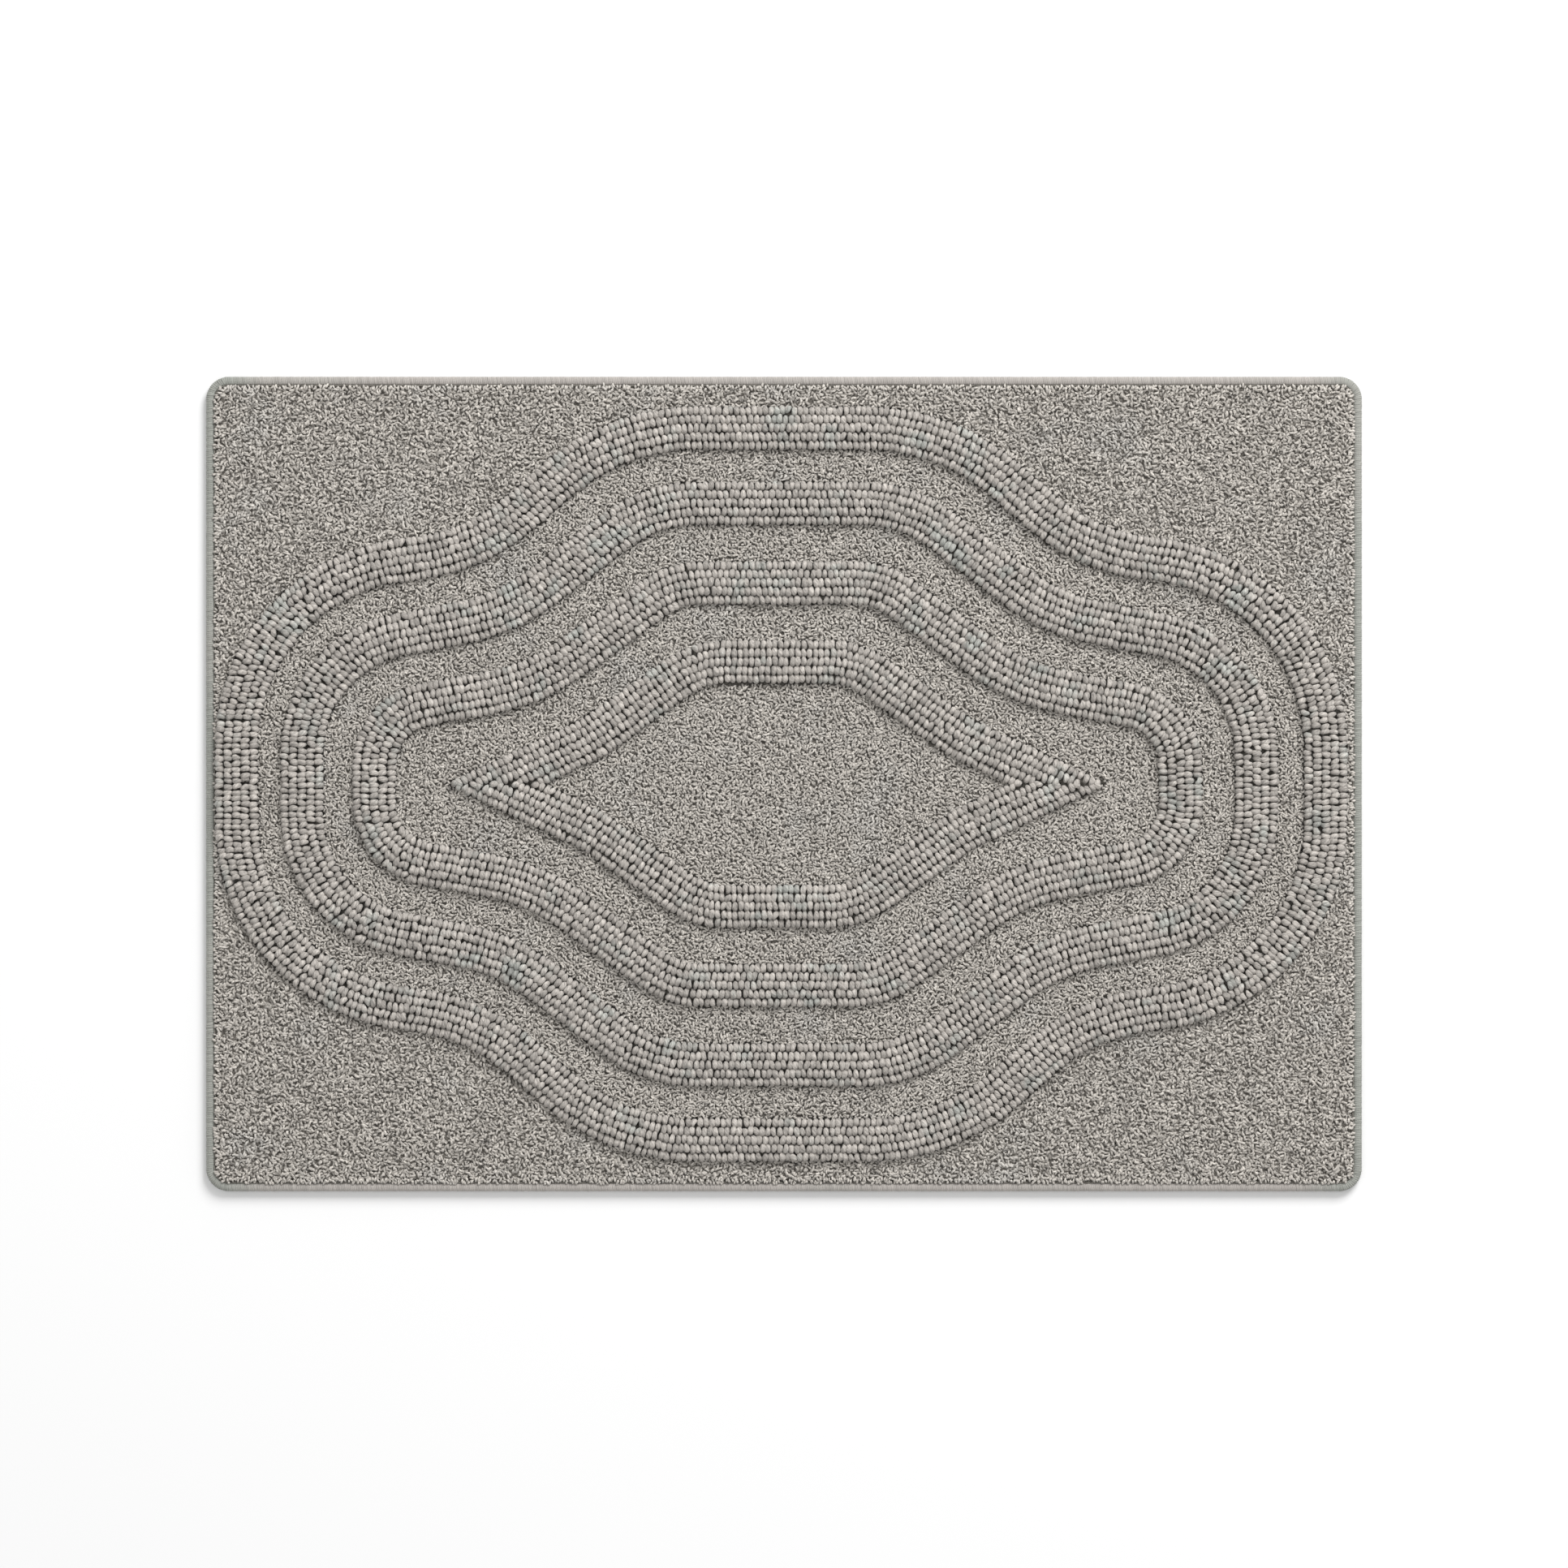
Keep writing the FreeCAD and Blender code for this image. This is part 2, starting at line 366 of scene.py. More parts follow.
class Nodes:
    """A material's node tree, with short ways to add and join nodes."""

    def __init__(self, name):
        self.material = bpy.data.materials.new(name)
        self.material.use_nodes = True
        self.tree = self.material.node_tree
        self.shader = self.tree.nodes["Principled BSDF"]

    def add(self, kind, inputs=None, **settings):
        """A node of a kind, with each input joined to a socket or set to a value."""
        node = self.tree.nodes.new("ShaderNode" + kind)
        for key, value in settings.items():
            setattr(node, key, value)
        for key, value in (inputs or {}).items():
            if isinstance(value, bpy.types.NodeSocket):
                self.tree.links.new(value, node.inputs[key])
            else:
                node.inputs[key].default_value = value
        return node

    def value(self, name):
        """A number stored per vertex."""
        return self.add("Attribute", attribute_name=name).outputs["Fac"]

    def vector(self, name):
        """A vector stored per vertex."""
        return self.add("Attribute", attribute_name=name).outputs["Vector"]

    def place(self):
        """Object coordinates."""
        return self.add("TexCoord").outputs["Object"]

    def noise(self, where, scale, detail=2.0, rough=0.5):
        node = self.add("TexNoise", {"Vector": where, "Scale": scale, "Detail": detail,
                                     "Roughness": rough})
        return node.outputs["Fac"]

    def yarn_noise(self, across, along, rough):
        """Noise drawn out along the yarn, as fibres."""
        stretched = self.add("VectorMath", {0: self.vector("yarn"), 1: (across, across, along)},
                             operation="MULTIPLY")
        return self.noise(stretched.outputs[0], 1.0, 3.0, rough)

    def curve(self, value, low, high, to_low, to_high):
        """Value scaled from low and high to the second pair, and held within it."""
        node = self.add("MapRange", {"Value": value, "From Min": low, "From Max": high,
                                     "To Min": to_low, "To Max": to_high})
        return node.outputs["Result"]

    def mix(self, share, a, b, blend="MIX"):
        """Colour a with colour b over it; each is a socket or three numbers."""
        node = self.add("Mix", data_type="RGBA", blend_type=blend)
        factor, first, second = node.inputs[0], node.inputs[6], node.inputs[7]
        for socket, value in ((factor, share), (first, a), (second, b)):
            if isinstance(value, bpy.types.NodeSocket):
                self.tree.links.new(value, socket)
            else:
                socket.default_value = value if socket is factor else (*value, 1.0)
        return node.outputs[2]

    def grey(self, value):
        """A grey colour of that value."""
        return self.add("CombineColor", {"Red": value, "Green": value, "Blue": value}).outputs[0]

    def finish(self, colour, bump, strength, distance=0.2 * MM, roughness=0.95, sheen=0.15):
        """Joins the colour and the bump to the shader, and returns the material."""
        self.tree.links.new(colour, self.shader.inputs["Base Color"])
        self.shader.inputs["Roughness"].default_value = roughness
        self.shader.inputs["Specular IOR Level"].default_value = 0.25
        self.shader.inputs["Sheen Weight"].default_value = sheen
        self.shader.inputs["Sheen Roughness"].default_value = 0.45
        node = self.add("Bump", {"Height": bump, "Strength": strength, "Distance": distance})
        self.tree.links.new(node.outputs[0], self.shader.inputs["Normal"])
        return self.material


def yarn(name, warm, cool, root, tints, patch_scale, fibre_scale, fibre_strength):
    """Soft spun yarn: two close shades in patches, each strand its own tint, and painted shade that
    mixes in a dark colour lower down.
    """
    nodes = Nodes(name)
    where = nodes.place()
    patches = nodes.curve(nodes.noise(where, patch_scale, 3.0), 0.56, 0.70, 0.0, 1.0)
    colour = nodes.mix(patches, warm, cool)
    tint = nodes.grey(nodes.curve(nodes.value("tint"), 0.0, 1.0, *tints))
    colour = nodes.mix(1.0, colour, tint, "MULTIPLY")
    fibres = nodes.yarn_noise(fibre_scale, 0.5, 0.62)
    streaks = nodes.grey(nodes.curve(fibres, 0.3, 0.7, 0.53, 1.34))
    colour = nodes.mix(1.0, colour, streaks, "MULTIPLY")
    # Painted shade: the dark third colour is mixed in by the share stored per vertex, more lower down.
    colour = nodes.mix(nodes.value("painted_depth_shade"), colour, root)
    return nodes.finish(colour, fibres, fibre_strength, 0.5 * MM)


# The third colour of each yarn is painted shade, the dark that it turns to lower in the pile.
LOOP_YARN = yarn("loop_yarn", (0.45, 0.419, 0.385), (0.41, 0.415, 0.385), (0.05, 0.045, 0.04),
                 (0.80, 1.18), 60.0, 1.9, 1.0)
PILE_YARN = yarn("pile_yarn", (0.56, 0.526, 0.48), (0.545, 0.521, 0.484), (0.09, 0.081, 0.07),
                 (0.87, 1.12), 30.0, 1.2, 0.3)


def root_material():
    """Roots of the pile and the base cloth between them, in near-black colours that are painted shade.
    """
    nodes = Nodes("pile_roots_painted_shade")
    mottle = nodes.curve(nodes.noise(nodes.place(), 620.0, 2.0), 0.35, 0.65, 0.0, 1.0)
    # Painted shade: near-black colours for the roots seen between the strands.
    colour = nodes.mix(mottle, (0.06, 0.054, 0.048), (0.18, 0.165, 0.145))
    return nodes.finish(colour, mottle, 0.8, 0.4 * MM)


def binding_material(name, beige, green):
    """Overlock yarn, grey-green on the sides and corners and beige along front and back."""
    nodes = Nodes(name)
    where = nodes.place()
    split = nodes.add("SeparateXYZ", {0: where})
    half_length = CAD_BOX[1][0]
    sideways = nodes.add("Math", {0: split.outputs["X"]}, operation="ABSOLUTE").outputs[0]
    share = nodes.curve(sideways, half_length - 30 * MM, half_length - 8 * MM, 0.0, 1.0)
    drift = nodes.curve(nodes.noise(where, 9.0, 2.0), 0.35, 0.65, -0.25, 0.25)
    share = nodes.add("Math", {0: share, 1: drift}, operation="ADD", use_clamp=True).outputs[0]
    colour = nodes.mix(share, beige, green)
    tint = nodes.grey(nodes.curve(nodes.value("tint"), 0.0, 1.0, 0.91, 1.07))
    colour = nodes.mix(1.0, colour, tint, "MULTIPLY")
    return nodes.finish(colour, nodes.yarn_noise(4.0, 0.6, 0.6), 0.4, 0.1 * MM)


def plain_fibre(name, colour_a, colour_b, scale):
    """Fibre of two mottled shades."""
    nodes = Nodes(name)
    mottle = nodes.noise(nodes.place(), scale, 3.0)
    colour = nodes.mix(mottle, colour_a, colour_b)
    return nodes.finish(colour, mottle, 0.4)


def latex_material():
    """Off-white sprayed latex, matt and slightly mottled."""
    nodes = Nodes("latex")
    where = nodes.place()
    blotch = nodes.noise(where, 35.0, 4.0)
    grain = nodes.noise(where, 1400.0, 2.0)
    colour = nodes.mix(blotch, (0.60, 0.575, 0.50), (0.72, 0.70, 0.63))
    return nodes.finish(colour, grain, 0.35, 0.15 * MM, roughness=0.62, sheen=0.0)


def woven_material():
    """Plain weave of flat tapes."""
    nodes = Nodes("base_cloth")
    tapes = {"Vector": nodes.place(), "Scale": 110.0, "Distortion": 0.4}
    warp = nodes.add("TexWave", tapes, bands_direction="X").outputs["Fac"]
    weft = nodes.add("TexWave", tapes, bands_direction="Y").outputs["Fac"]
    weave = nodes.add("Math", {0: warp, 1: weft}, operation="MAXIMUM").outputs[0]
    colour = nodes.mix(weave, (0.22, 0.20, 0.17), (0.50, 0.47, 0.41))
    return nodes.finish(colour, weave, 0.6)


def dress(piece, material, slot, *nodes):
    """Gives a piece its material and body, and hides the CAD nodes that it replaces; slot is not used.
    """
    piece.data.materials.append(material)
    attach(piece, "root")
    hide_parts(*nodes)


# ---------------------------------------------------------------- raised rings

def smooth_random(count, waves, rng):
    """Slow random swing, about -1 to 1, that closes on itself round a row."""
    angle = 2 * math.pi * np.arange(count) / count
    swing = np.zeros(count)
    for wave in range(1, waves + 1):
        swing += rng.normal() * np.sin(wave * angle) + rng.normal() * np.cos(wave * angle)
    return swing / math.sqrt(waves)


def loop_stance(sideways, step_out, rng):
    """Turn, lean and tilt of each loop, in radians, from its distance sideways from the middle."""
    count = len(sideways)
    unruly = np.clip((sideways - UNRULY_FROM) / UNRULY_OVER, 0, 1)
    pairs = np.where(np.arange(count) % 2, 1, -1) * smooth_random(count, count // 5, rng)
    swing = smooth_random(count, SWING_WAVES, rng)
    turn = np.radians(PAIR_TURN * pairs + SWING_TURN * swing + rng.normal(0, OWN_TURN, count))
    turn *= 1 + UNRULY["turn"] * unruly
    stray = rng.random(count) < STRAY_SHARE + UNRULY["stray"] * unruly
    turn += np.where(stray, rng.choice([-1, 1], count) * rng.uniform(*STRAY_TURN, count), 0)
    lean = ROW_LEAN * step_out + rng.normal(0, LEAN_SPREAD, count) * (1 + UNRULY["lean"] * unruly)
    tilt = rng.normal(0, TILT_SPREAD, count) * (1 + UNRULY["tilt"] * unruly)
    return turn, np.radians(lean), np.radians(tilt)


def loop_arches(crown, reach, floor, lean, tilt, rng):
    """Arches of yarn, per loop and ring: how far across the row, along it and up, and their taper."""
    count = len(crown)
    bend = np.radians(np.linspace(-ARCH_BEND, ARCH_BEND, LOOP_RINGS - 2))
    side_way = np.concatenate([[-FOOT_OUT], np.sin(bend), [FOOT_OUT]])
    up_way = np.concatenate([[0], np.cos(bend), [0]])
    feet = [0, -1]
    across = reach[:, None] * side_way
    taper = 1 + TAPER_SPREAD * rng.normal(0, 1, count)[:, None] * side_way
    wobble = np.cos(WOBBLE_BEND * side_way) * side_way
    along = WOBBLE_SPREAD * rng.normal(0, 1, count)[:, None] * wobble
    pivot = crown[:, None]
    height = pivot - reach[:, None] * (1 - up_way)
    height[:, feet] = floor + FOOT_RISE + rng.uniform(0, FOOT_UNEVEN, (count, 2))

    lean = lean[:, None]
    swung = across * np.cos(lean) + (height - pivot) * np.sin(lean)
    height = pivot + (height - pivot) * np.cos(lean) - across * np.sin(lean)
    height[:, feet] = np.maximum(height[:, feet], floor + FOOT_LOWEST)
    swung[:, feet] = across[:, feet]
    along = along + np.maximum(height - pivot + TILT_PIVOT, 0) * np.sin(tilt)[:, None]
    return swung, along, height, taper


def loop_row(node, step_out, rng):
    """One row of arched loops standing across the row's middle line.

    step_out is how many rows this one is outside the ring's middle row, less than 0 for inside.
    """
    line = middle_line(node)
    count = int(round(path_length(line) / LOOP_PITCH))
    even = resample(line, count * LINE_STEPS)
    at = np.arange(count) * LINE_STEPS + rng.normal(0, STEP_SPREAD, count)
    at = at.round().astype(int) % len(even)
    row_way = unit(even[(at + LINE_REACH) % len(even)] - even[(at - LINE_REACH) % len(even)])
    out = np.stack([row_way[:, 1], -row_way[:, 0]], axis=1)
    low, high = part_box(node)

    turn, lean, tilt = loop_stance(np.abs(even[at, 0]), step_out, rng)
    slip = rng.normal(0, SLIP_SPREAD, count)
    rise = np.clip(rng.normal(0, CROWN_SPREAD, count), *CROWN_LIMITS)
    crown = high.z - CROWN_DROP + rise - LOOP_THICK / 2
    size = rng.normal(1, SIZE_SPREAD, count)
    reach = (LOOP_REACH - LOOP_THICK) / 2 * rng.normal(1, REACH_SPREAD, count)
    across, along, height, taper = loop_arches(crown, reach, low.z, lean, tilt, rng)

    way = out * np.cos(turn)[:, None] + row_way * np.sin(turn)[:, None]
    wide_way = np.stack([-way[:, 1], way[:, 0]], axis=1)
    centre = even[at] + out * slip[:, None]
    plan = centre[:, None] + way[:, None] * across[..., None] + wide_way[:, None] * along[..., None]
    paths = np.concatenate([plan, height[..., None]], axis=2)
    wide_way = np.concatenate([wide_way, np.zeros((count, 1))], axis=1)[:, None]
    wide = LOOP_WIDTH / 2 * size[:, None] * taper * np.array(LOOP_SWELL)
    thick = np.minimum(LOOP_THICK / 2, THICK_LIMIT * wide)
    points = tube_points(paths, wide_way * np.ones((1, LOOP_RINGS, 1)), wide, thick, LOOP_SIDES)

    # Painted shade: each loop darkens down from its crown, where shade falls between the loops.
    shade = (crown[:, None] - LOOP_SHADE["from"] - height) / LOOP_SHADE["over"]
    shade = np.clip(shade, 0, 1) * LOOP_SHADE["most"]
    values = {
        "tint": spread(rng.random(count), LOOP_RINGS, LOOP_SIDES),
        "painted_depth_shade": spread(shade, LOOP_RINGS, LOOP_SIDES),
        "yarn": yarn_vector(count, LOOP_RINGS, LOOP_SIDES, LOOP_YARN_LENGTH, rng),
    }
    faces = tube_faces(count, LOOP_RINGS, LOOP_SIDES)
    piece = mesh_piece(node + "_loops", points.reshape(-1, 3), faces, values)
    dress(piece, LOOP_YARN, "loop_pile", node)


# ---------------------------------------------------------------- low pile

def pile_spots(node, spacing, rng):
    """Scattered but even places over a pile area and a little past it, under the loops beside it."""
    outlines = flat_outlines(node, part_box(node)[0].z)
    low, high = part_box(node)
    xs = np.arange(low.x, high.x, spacing)
    ys = np.arange(low.y, high.y, spacing * math.sqrt(3) / 2)
    grid = np.stack(np.meshgrid(xs, ys, indexing="ij"), axis=-1)
    grid[:, 1::2, 0] += spacing / 2
    places = grid.reshape(-1, 2)
    places = places + rng.normal(0, SPOT_SPREAD * spacing, places.shape)
    wanted = inside(places, outlines)
    for shift in ((1, 0), (-1, 0), (0, 1), (0, -1)):
        wanted |= inside(places + np.array(shift) * RING_OVERLAP, outlines)
    wanted &= edge_distance(places)[0] > 0
    return places[wanted]


def lie_of_pile(places):
    """Direction that the pile lies in at each place, changing slowly so that strands lie in clumps."""
    rng = np.random.default_rng(LIE_SEED)
    turn = np.zeros(places.shape[:-1])
    for _ in range(LIE_WAVES):
        length = rng.uniform(*LIE_LENGTHS)
        way = rng.uniform(0, 2 * math.pi)
        across = places @ np.array([math.cos(way), math.sin(way)])
        turn += np.sin(2 * math.pi * (across / length + rng.random()))
    return turn * LIE_SWING / math.sqrt(LIE_WAVES)


def strand_plan(places, length, calm, at_seam, seam_way, rng):
    """Places seen from above, and headings, per strand and ring, for strands round their places."""
    count = len(places)
    share = np.linspace(0, 1, CURL_RINGS)
    step = length / (CURL_RINGS - 1)
    own_turn = rng.normal(0, TURN_SPREAD, count)
    curl = rng.normal(0, CURL_SPREAD, count) * calm
    sway = rng.normal(0, SWAY_SPREAD, count) * calm
    seam_heading = np.arctan2(seam_way[:, 1], seam_way[:, 0])
    here = places
    plan, headings = [], []
    for part in share:
        heading = np.where(at_seam, seam_heading, lie_of_pile(here)) + own_turn
        heading = heading + curl * (part - 0.5) + sway * math.sin(2 * math.pi * part)
        plan.append(here)
        headings.append(heading)
        here = here + np.stack([np.cos(heading), np.sin(heading)], axis=1) * step[:, None]
    plan = np.stack(plan, axis=1)
    plan = places[:, None] + plan - plan.mean(axis=1, keepdims=True)
    plan -= (seam_way * at_seam[:, None] * SEAM_SHIFT)[:, None]
    return plan, np.stack(headings, axis=1)


def strands(places, top, kind, rng):
    """Curled strands lying in the top of the pile, each diving back in at both ends."""
    count = len(places)
    distance, seam_way = edge_distance(places)
    combed = np.clip(1 - distance / SEAM_STRIP, 0, 1)
    at_seam = combed > 0
    calm = np.where(at_seam, SEAM_CALM, 1.0)
    length = kind["length"] * rng.uniform(*LENGTH_RANGE, count) * np.where(at_seam, SEAM_LENGTH, 1.0)
    sunk = kind["ruffle"] * rng.random(count) ** RUFFLE_POWER * calm + SEAM_DROP * combed
    tops = top - kind["width"] / 2 - sunk
    dip = rng.uniform(*DIP_RANGE, count) * calm
    plan, headings = strand_plan(places, length, calm, at_seam, seam_way, rng)

    end = np.abs(2 * np.linspace(0, 1, CURL_RINGS) - 1)
    height = tops[:, None] - dip[:, None] * end ** DIP_POWER
    paths = np.concatenate([plan, height[..., None]], axis=2)
    across = np.stack([-np.sin(headings), np.cos(headings), np.zeros_like(headings)], axis=-1)
    width = kind["width"] * rng.uniform(*WIDTH_RANGE, count)[:, None] * (1 - END_TAPER * end ** 3)
    reach = width * SQUARE
    points = tube_points(paths, across, reach, reach * FLATNESS, CURL_SIDES)

    # Painted shade: strands darken down from their tops, and low-lying ones more, away from the seam.
    shade = np.clip((tops[:, None] - STRAND_SHADE["from"] - height) / STRAND_SHADE["over"], 0, 1)
    low_lying_shade = STRAND_SHADE["sunk"] * sunk / STRAND_SHADE["sunk_over"] * (1 - at_seam)
    shade = np.clip(shade + low_lying_shade[:, None], 0, 1) * STRAND_SHADE["most"]
    values = {
        "tint": spread(rng.random(count), CURL_RINGS, CURL_SIDES),
        "painted_depth_shade": spread(shade, CURL_RINGS, CURL_SIDES),
        "yarn": yarn_vector(count, CURL_RINGS, CURL_SIDES, kind["length"], rng),
    }
    return points.reshape(count, -1, 3), values


def pile(node, kind, parts, rng):
    """The strands of one pile area, as parts pieces, each a sector of it round the middle."""
    places = pile_spots(node, kind["spacing"], rng)
    places = places[np.argsort(np.arctan2(places[:, 1], places[:, 0]))]
    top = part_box(node)[1].z
    for number, share in enumerate(np.array_split(places, parts), 1):
        points, values = strands(share, top, kind, rng)
        faces = tube_faces(len(share), CURL_RINGS, CURL_SIDES)
        piece = mesh_piece("%s_pile_%d" % (node, number), points.reshape(-1, 3), faces, values)
        dress(piece, PILE_YARN, "low_pile", node)


def roots(node, material):
    """Dense roots of the pile: the CAD area, a little lower than the strands' tops."""
    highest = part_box(node)[1].z - ROOT_DROP
    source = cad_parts[node].data
    piece = bpy.data.objects.new(node + "_roots", source.copy())
    bpy.context.scene.collection.objects.link(piece)
    for vertex in piece.data.vertices:
        vertex.co.z = min(vertex.co.z, highest)
    piece.data.materials.clear()
    dress(piece, material, "low_pile", node)


# ---------------------------------------------------------------- edge binding

def rounded_rectangle(half_x, half_y, radius, spacing):
    """Evenly spaced places, anticlockwise, and the way out at each."""
    corners = []
    for number, (sx, sy) in enumerate(((1, -1), (1, 1), (-1, 1), (-1, -1))):
        centre = np.array([sx * (half_x - radius), sy * (half_y - radius)])
        angle = np.radians(np.linspace(0, 90, CORNER_PLACES) + 90 * (number - 1))
        corners.append(centre + radius * np.stack([np.cos(angle), np.sin(angle)], axis=1))
    outline = np.concatenate(corners)
    places = resample(outline, int(round(path_length(outline) / spacing)))
    along = unit(np.roll(places, -1, axis=0) - np.roll(places, 1, axis=0))
    return places, np.stack([along[:, 1], -along[:, 0]], axis=1)


def binding_section():
    """Half width, half height and middle height of the binding's rounded section."""
    low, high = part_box("edge_binding")
    width = high.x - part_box("field_outer")[1].x + BINDING_LAP
    return width / 2, (high.z - low.z) / 2, (high.z + low.z) / 2


def binding_path(spacing):
    """Places along the middle of the binding, and the way out at each."""
    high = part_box("edge_binding")[1]
    half_width = binding_section()[0]
    radius = EDGE_CORNER - BINDING_LAP + half_width
    return rounded_rectangle(high.x - half_width, high.y - half_width, radius, spacing)


def squared(wave):
    """A sine or cosine, held nearer to -1 and 1."""
    return np.sign(wave) * np.abs(wave) ** BINDING_SQUARENESS


def binding_wraps(material, rng):
    """The overlock yarn, wound round the edge turn by turn."""
    half_width, half_height, middle = binding_section()
    places, out = binding_path(WRAP_PITCH)
    count = len(places)
    along = np.stack([-out[:, 1], out[:, 0]], axis=1)
    angle = 2 * math.pi * np.arange(WRAP_RINGS) / WRAP_RINGS
    side = squared(np.cos(angle))
    up = squared(np.sin(angle))
    wider = 1 + rng.normal(0, WRAP_SPREAD["out"], count)[:, None]
    higher = 1 + rng.normal(0, WRAP_SPREAD["up"], count)[:, None]
    reach_side = (half_width - WRAP_THICK / 2) * side * wider
    reach_up = (half_height - WRAP_THICK / 2) * up * higher
    slant = WRAP_SLANT * side + rng.normal(0, WRAP_SPREAD["slant"], count)[:, None]
    slant = slant * WRAP_PITCH
    plan = places[:, None] + out[:, None] * reach_side[..., None] + along[:, None] * slant[..., None]
    height = np.maximum(middle + reach_up, WRAP_THICK / 2)
    paths = np.concatenate([plan, height[..., None]], axis=2)

    tangent = unit(np.roll(paths, -1, axis=1) - np.roll(paths, 1, axis=1))
    across = np.concatenate([along, np.zeros((count, 1))], axis=1)[:, None]
    across = unit(across - tangent * (across * tangent).sum(-1, keepdims=True))
    over = np.cross(tangent, across)
    turn = 2 * math.pi * (np.arange(WRAP_SIDES) + 0.5) / WRAP_SIDES
    size = rng.normal(1, WRAP_SPREAD["width"], count)
    wide = WRAP_WIDE * WRAP_PITCH * size[:, None, None, None]
    points = (paths[:, :, None] + across[:, :, None] * np.cos(turn)[:, None] * wide
              + over[:, :, None] * np.sin(turn)[:, None] * WRAP_THICK / 2)

    tints = rng.random(count)
    bounds = np.linspace(0, count, BINDING_PIECES + 1).astype(int)
    for number, (start, stop) in enumerate(zip(bounds[:-1], bounds[1:]), 1):
        some = stop - start
        values = {
            "tint": spread(tints[start:stop], WRAP_RINGS, WRAP_SIDES),
            "yarn": yarn_vector(some, WRAP_RINGS, WRAP_SIDES, WRAP_LENGTH, rng),
        }
        faces = tube_faces(some, WRAP_RINGS, WRAP_SIDES, closed=True)
        name = "binding_wraps_%d" % number
        piece = mesh_piece(name, points[start:stop].reshape(-1, 3), faces, values)
        dress(piece, material, "binding_yarn", "edge_binding")


def binding_core(material):
    """Padding under the wraps, so that no light shows between them."""
    half_width, half_height, middle = binding_section()
    places, out = binding_path(CORE_STEP)
    count = len(places)
    angle = 2 * math.pi * np.arange(CORE_SIDES) / CORE_SIDES
    side = (half_width - CORE_INSET) * np.cos(angle)
    up = (half_height - CORE_INSET) * np.sin(angle)
    plan = places[:, None] + out[:, None] * side[None, :, None]
    height = np.broadcast_to(middle + up, (count, CORE_SIDES))
    points = np.concatenate([plan, height[..., None]], axis=2).reshape(-1, 3)
    piece = mesh_piece("binding_core", points, tube_faces(1, count, CORE_SIDES, closed=True))
    dress(piece, material, "binding_yarn", "edge_binding")


def needle_thread(material, rng):
    """Short stitches of the needle thread, each dipping into the seam at its ends."""
    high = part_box("binding_stitch")[1]
    places, out = rounded_rectangle(high.x - BINDING_LAP, high.y - BINDING_LAP,
                                    EDGE_CORNER - BINDING_LAP, STITCH_PITCH)
    count = len(places)
    along = np.stack([-out[:, 1], out[:, 0]], axis=1)
    share = np.linspace(-1, 1, STITCH_RINGS)
    reach = share * STITCH_REACH * STITCH_PITCH
    plan = places[:, None] + along[:, None] * reach[None, :, None]
    plan = plan + out[:, None] * rng.normal(0, STITCH_SPREAD, count)[:, None, None]
    height = high.z + THREAD_RISE - STITCH_DIP * np.abs(share) ** 3
    height = np.broadcast_to(height, (count, STITCH_RINGS))
    paths = np.concatenate([plan, height[..., None]], axis=2)
    across = np.concatenate([out, np.zeros((count, 1))], axis=1)[:, None]
    across = across * np.ones((1, STITCH_RINGS, 1))
    radius = np.full((count, STITCH_RINGS), THREAD_RADIUS)
    points = tube_points(paths, across, radius, radius, STITCH_SIDES)
    faces = tube_faces(count, STITCH_RINGS, STITCH_SIDES)
    piece = mesh_piece("needle_thread_stitches", points.reshape(-1, 3), faces)
    dress(piece, material, "needle_thread", "binding_stitch")


# ---------------------------------------------------------------- underside

def slab_piece(name, node, relief, spacing):
    """Rounded slab of a CAD layer. relief(x, y) lifts its underside, on a grid of that spacing."""
    low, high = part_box(node)
    half = np.array([high.x, high.y])
    radius = EDGE_CORNER + (half[0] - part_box("field_outer")[1].x)
    columns = int(2 * half[0] / spacing)
    rows = int(2 * half[1] / spacing)
    u = np.linspace(-1, 1, columns)
    v = np.linspace(-1, 1, rows)
    y = v * half[1]
    beyond = np.clip((np.abs(y) - (half[1] - radius)) / radius, 0, 1)
    reach = half[0] - radius + radius * np.sqrt(1 - beyond ** 2)
    grid_x = u[:, None] * reach[None, :]
    grid_y = np.broadcast_to(y, grid_x.shape)
    lift = relief(grid_x, grid_y)
    lift[[0, -1], :] = 0
    lift[:, [0, -1]] = 0
    bottom = np.stack([grid_x, grid_y, low.z + lift], axis=-1).reshape(-1, 3)
    index = np.arange(columns * rows).reshape(columns, rows)
    rim = np.concatenate([index[:-1, 0], index[-1, :-1], index[:0:-1, -1], index[0, :0:-1]])
    top = bottom[rim].copy()
    top[:, 2] = high.z
    upper = len(bottom) + np.arange(len(rim))
    under = np.stack([index[:-1, :-1], index[:-1, 1:], index[1:, 1:], index[1:, :-1]], axis=-1)
    wall = np.stack([rim, np.roll(rim, -1), np.roll(upper, -1), upper], axis=-1)
    faces = [under.reshape(-1, 4), wall, upper[None, :]]
    return mesh_piece(name, np.concatenate([bottom, top]), faces)


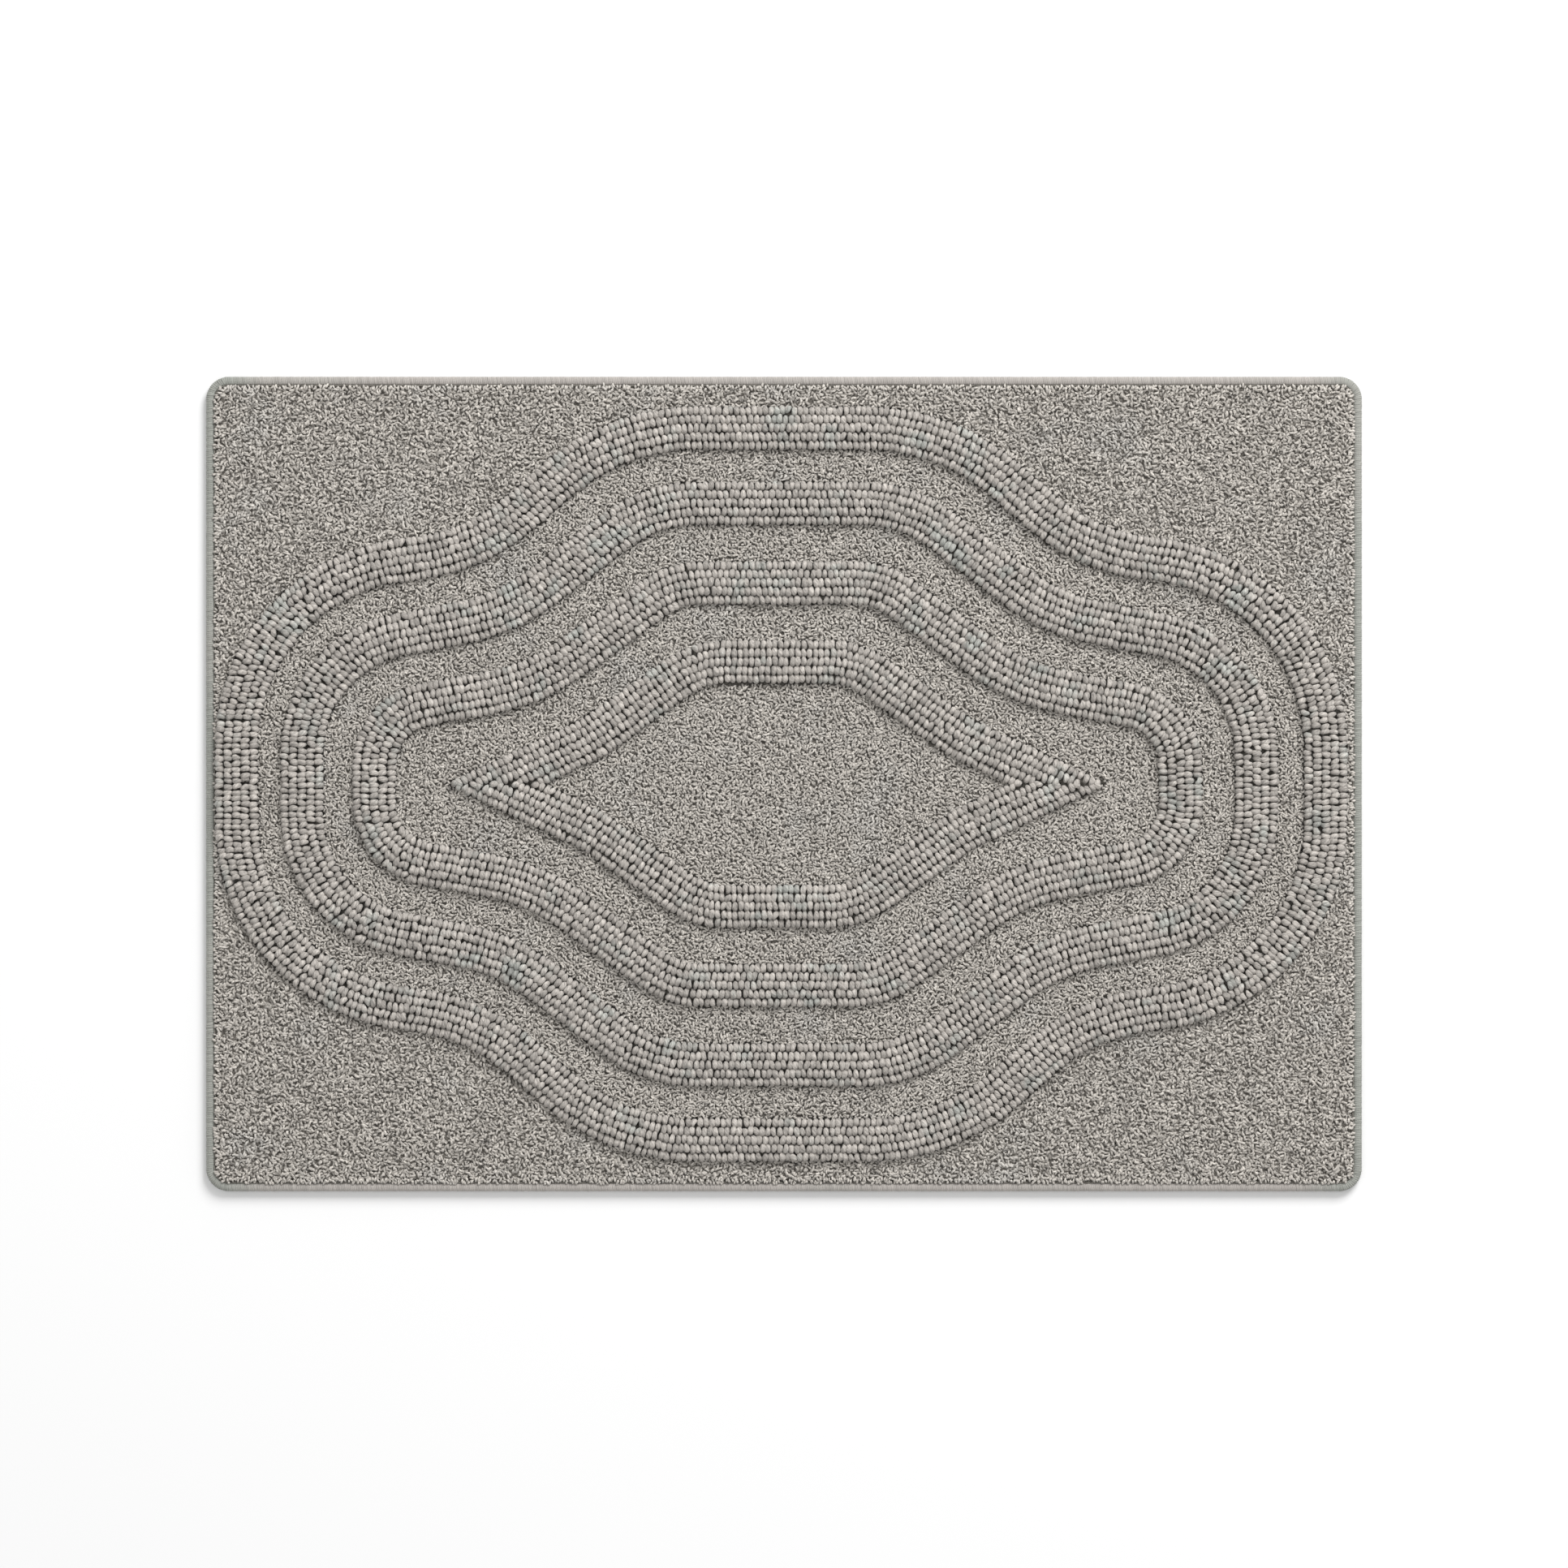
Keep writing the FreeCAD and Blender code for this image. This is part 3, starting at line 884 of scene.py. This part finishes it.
def latex_underside(material, rng):
    """Latex coat whose underside shows the lines of tufting."""
    rib_phase, bead_phase, drift_x_phase, drift_y_phase = rng.uniform(0, 2 * math.pi, 4)

    def relief(x, y):
        rib_sway = RIB_SWAY * np.sin(x / RIB_SWAY_LENGTH + rib_phase)
        ribs = 0.5 + 0.5 * np.cos(2 * math.pi * y / RIB_PITCH + rib_sway)
        bead_sway = BEAD_SWAY * np.sin(y / BEAD_SWAY_LENGTH) + bead_phase
        beads = 0.5 + 0.5 * np.cos(2 * math.pi * x / BEAD_PITCH + bead_sway)
        drift_x = np.sin(x / DRIFT_LENGTHS[0] + drift_x_phase)
        drift_y = np.sin(y / DRIFT_LENGTHS[1] + drift_y_phase)
        drift = 0.5 + 0.5 * drift_x * drift_y
        return RIB_HEIGHT * ribs + BEAD_HEIGHT * ribs * beads + DRIFT_HEIGHT * drift

    piece = slab_piece("latex_coat", "latex_backing", relief, LATEX_GRID)
    dress(piece, material, "latex", "latex_backing")


def woven_base(material):
    """The base cloth, one flat sheet."""
    piece = slab_piece("woven_base", "primary_backing", lambda x, y: np.zeros_like(x), CLOTH_GRID)
    dress(piece, material, "base_cloth", "primary_backing")


# ---------------------------------------------------------------- making

def make_mat():
    """Every piece of the mat. The pieces share one run of random numbers, so their order counts."""
    rng = np.random.default_rng(MAT_SEED)
    for ring in range(1, 5):
        for row in range(1, 6):
            loop_row("ring_%d_row_%d" % (ring, row), row - 3, rng)
    pile("field_outer", COARSE, 8, rng)
    for node, parts in (("field_1_2", 3), ("field_2_3", 3), ("field_3_4", 2), ("field_centre", 2)):
        pile(node, FINE, parts, rng)
    shade = root_material()
    for node in ("field_outer", "field_1_2", "field_2_3", "field_3_4", "field_centre"):
        roots(node, shade)
    binding = binding_material("binding_yarn", (0.41, 0.382, 0.356), (0.31, 0.317, 0.289))
    binding_wraps(binding, rng)
    binding_core(plain_fibre("binding_padding", (0.25, 0.24, 0.21), (0.34, 0.33, 0.30), 600.0))
    needle_thread(plain_fibre("needle_thread", (0.20, 0.19, 0.16), (0.32, 0.30, 0.27), 900.0), rng)
    latex_underside(latex_material(), rng)
    woven_base(woven_material())


# ---------------------------------------------------------------- stage, light and camera

def make_stage():
    """Plain pale floor."""
    corners = FLOOR_HALF * np.array([[-1, -1, 0], [1, -1, 0], [1, 1, 0], [-1, 1, 0]])
    floor = mesh_piece("floor", corners, [np.array([[0, 1, 2, 3]])], smooth=False)
    floor.location.z = -FLOOR_GAP
    nodes = Nodes("pale_floor")
    nodes.shader.inputs["Base Color"].default_value = (0.86, 0.86, 0.86, 1)
    nodes.shader.inputs["Roughness"].default_value = 0.9
    nodes.shader.inputs["Specular IOR Level"].default_value = 0.0
    floor.data.materials.append(nodes.material)


def area_light(name, place, size, power):
    """Round white light that shines towards the middle of the mat."""
    light = bpy.data.lights.new(name, "AREA")
    light.shape = "DISK"
    light.size = size
    light.energy = power
    lamp = bpy.data.objects.new(name, light)
    bpy.context.scene.collection.objects.link(lamp)
    lamp.location = place
    lamp.rotation_euler = (-Vector(place)).to_track_quat("-Z", "Y").to_euler()


def make_light():
    """Soft light from all round, a key light behind the mat and to its right, and a weak one above."""
    world = bpy.data.worlds.new("studio")
    world.use_nodes = True
    background = world.node_tree.nodes["Background"]
    background.inputs["Color"].default_value = (1, 1, 1, 1)
    background.inputs["Strength"].default_value = 0.62
    bpy.context.scene.world = world
    area_light("key", (1.5, 3.0, 2.6), 2.2, 163)
    area_light("overhead", (-0.3, 0.2, 3.4), 1.4, 12)


def make_camera():
    """Straight above the middle of the mat."""
    low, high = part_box("edge_binding")
    middle = (low + high) / 2
    shown = (high.x - low.x) * SHOWN_SHARE
    camera = bpy.data.cameras.new("camera")
    camera.sensor_width = 36
    camera.lens = camera.sensor_width * EYE_DISTANCE / shown
    eye = bpy.data.objects.new("camera", camera)
    bpy.context.scene.collection.objects.link(eye)
    eye.location = (middle.x, middle.y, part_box("field_outer")[1].z + EYE_DISTANCE)
    bpy.context.scene.camera = eye


make_mat()
make_stage()
make_light()
make_camera()
bpy.context.scene.view_settings.view_transform = "Standard"
